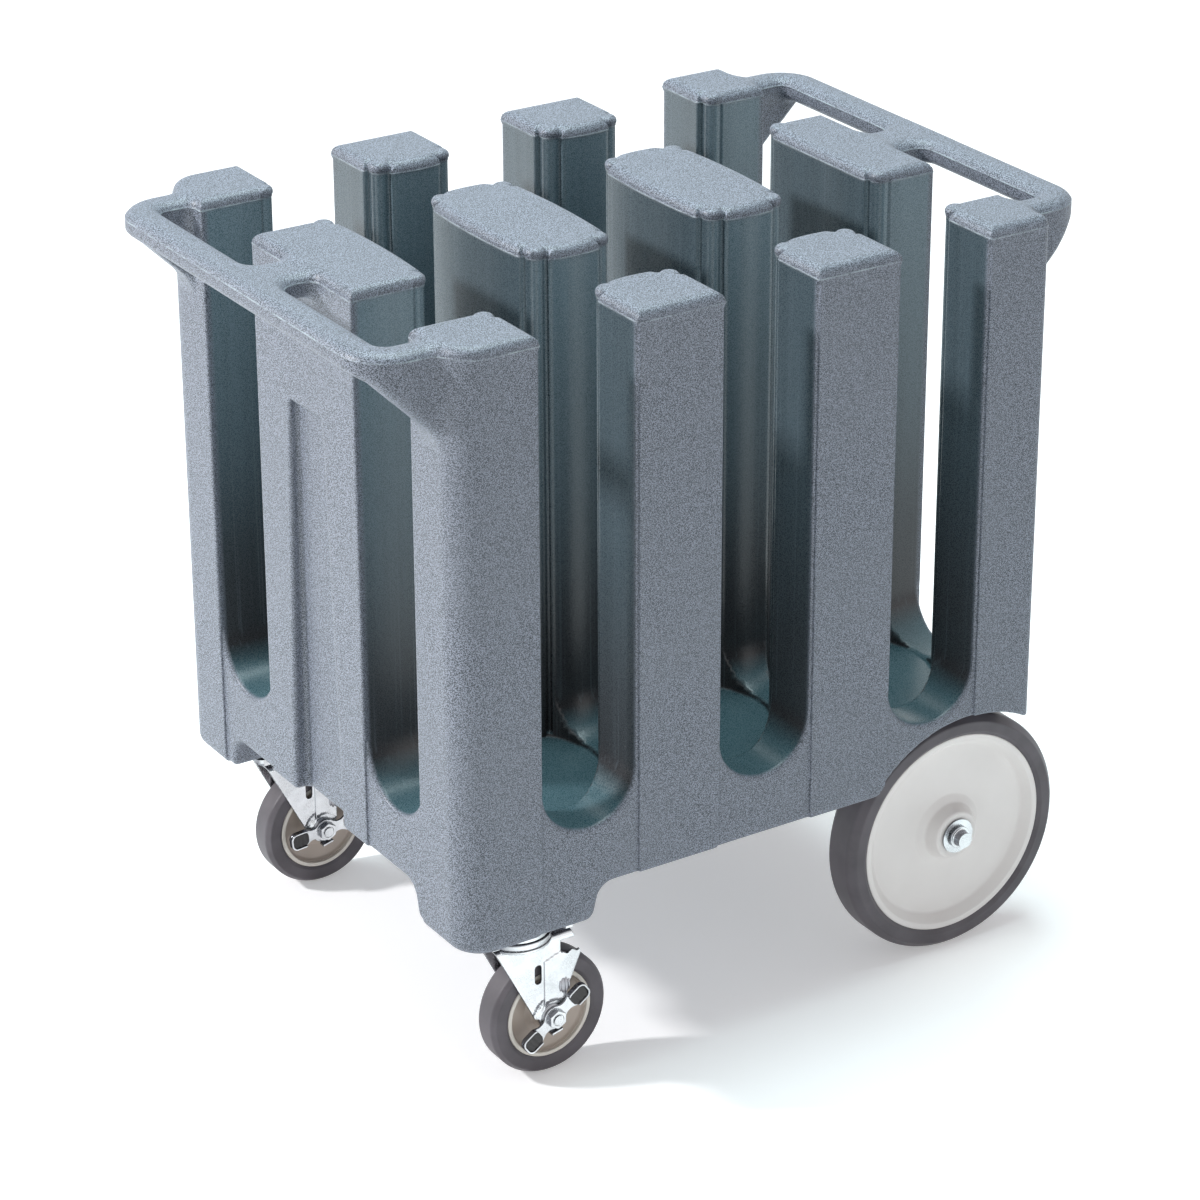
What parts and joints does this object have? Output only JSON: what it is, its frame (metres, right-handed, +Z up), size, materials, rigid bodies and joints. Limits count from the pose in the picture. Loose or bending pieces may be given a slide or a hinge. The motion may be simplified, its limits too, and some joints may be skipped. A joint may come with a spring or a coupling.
{
  "type": "plate dispenser cart",
  "caption": "Open moulded cart for stacks of plates, with plate wells between upright posts, loop handles, braked swivel casters and large rear wheels",
  "frame": {"origin": "on the floor under the centre of the bounding box", "axes": "X along the cart from the caster end to the wheel end, Y across it, Z up"},
  "size_m": [0.791, 0.552, 0.77],
  "materials": {
    "moulded_blue": "speckled grey-blue moulded plastic with a fine orange-peel grain",
    "zinc": "bright zinc plating",
    "steel": "plain machined steel",
    "brass": "turned brass",
    "tyre": "grey non-marking rubber",
    "hub_plastic": "tan moulded plastic with a cream rim",
    "disc_white": "off-white moulded plastic",
    "dark_plastic": "dark moulded plastic"
  },
  "bodies": {
    "frame": {"body": "moulded_blue", "threaded_inserts": "brass", "axle_bracket_right": "steel", "axle_bracket_left": "steel", "bracket_bolts": "zinc", "rear_axle": "zinc", "axle_spacers": "steel", "axle_washers": "zinc", "axle_caps": "zinc", "caster_plate_right": "zinc", "plate_bolts_right": "zinc", "race_balls_right": "steel", "king_pin_right": "steel", "king_nut_right": "zinc", "caster_plate_left": "zinc", "plate_bolts_left": "zinc", "race_balls_left": "steel", "king_pin_left": "steel", "king_nut_left": "zinc"},
    "swivel_right": {"fork_right": "zinc", "brake_cam_right": "steel", "axle_bolt_right": "zinc", "axle_nut_right": "zinc", "bearing_sleeve_right": "steel"},
    "caster_wheel_right": {"caster_hub_right": "hub_plastic", "caster_tyre_right": "tyre"},
    "brake_right": {"brake_pedal_right": "zinc", "pedal_pads_right": "dark_plastic"},
    "rear_wheel_right": {"wheel_disc_right": "disc_white", "wheel_tyre_right": "tyre", "wheel_bushes_right": "dark_plastic"},
    "swivel_left": {"fork_left": "zinc", "brake_cam_left": "steel", "axle_bolt_left": "zinc", "axle_nut_left": "zinc", "bearing_sleeve_left": "steel"},
    "caster_wheel_left": {"caster_hub_left": "hub_plastic", "caster_tyre_left": "tyre"},
    "brake_left": {"brake_pedal_left": "zinc", "pedal_pads_left": "dark_plastic"},
    "rear_wheel_left": {"wheel_disc_left": "disc_white", "wheel_tyre_left": "tyre", "wheel_bushes_left": "dark_plastic"}
  },
  "joints": [
    {"name": "swivel_right_turn", "type": "hinge", "parent": "frame", "child": "swivel_right", "pos_m": [-0.24, -0.222, 0.15], "axis": [0, 0, 1], "continuous": true},
    {"name": "caster_wheel_right_spin", "type": "hinge", "parent": "swivel_right", "child": "caster_wheel_right", "pos_m": [-0.212, -0.222, 0.0635], "axis": [0, 1, 0], "continuous": true},
    {"name": "brake_right_rock", "type": "hinge", "parent": "swivel_right", "child": "brake_right", "pos_m": [-0.212, -0.222, 0.0635], "axis": [0, 1, 0], "range_deg": [0, 30]},
    {"name": "swivel_left_turn", "type": "hinge", "parent": "frame", "child": "swivel_left", "pos_m": [-0.24, 0.222, 0.15], "axis": [0, 0, 1], "continuous": true},
    {"name": "caster_wheel_left_spin", "type": "hinge", "parent": "swivel_left", "child": "caster_wheel_left", "pos_m": [-0.212, 0.222, 0.0635], "axis": [0, 1, 0], "continuous": true},
    {"name": "brake_left_rock", "type": "hinge", "parent": "swivel_left", "child": "brake_left", "pos_m": [-0.212, 0.222, 0.0635], "axis": [0, 1, 0], "range_deg": [-30, 0]},
    {"name": "rear_wheel_right_spin", "type": "hinge", "parent": "frame", "child": "rear_wheel_right", "pos_m": [0.252, 0, 0.127], "axis": [0, 1, 0], "continuous": true},
    {"name": "rear_wheel_left_spin", "type": "hinge", "parent": "frame", "child": "rear_wheel_left", "pos_m": [0.252, 0, 0.127], "axis": [0, 1, 0], "continuous": true}
  ]
}
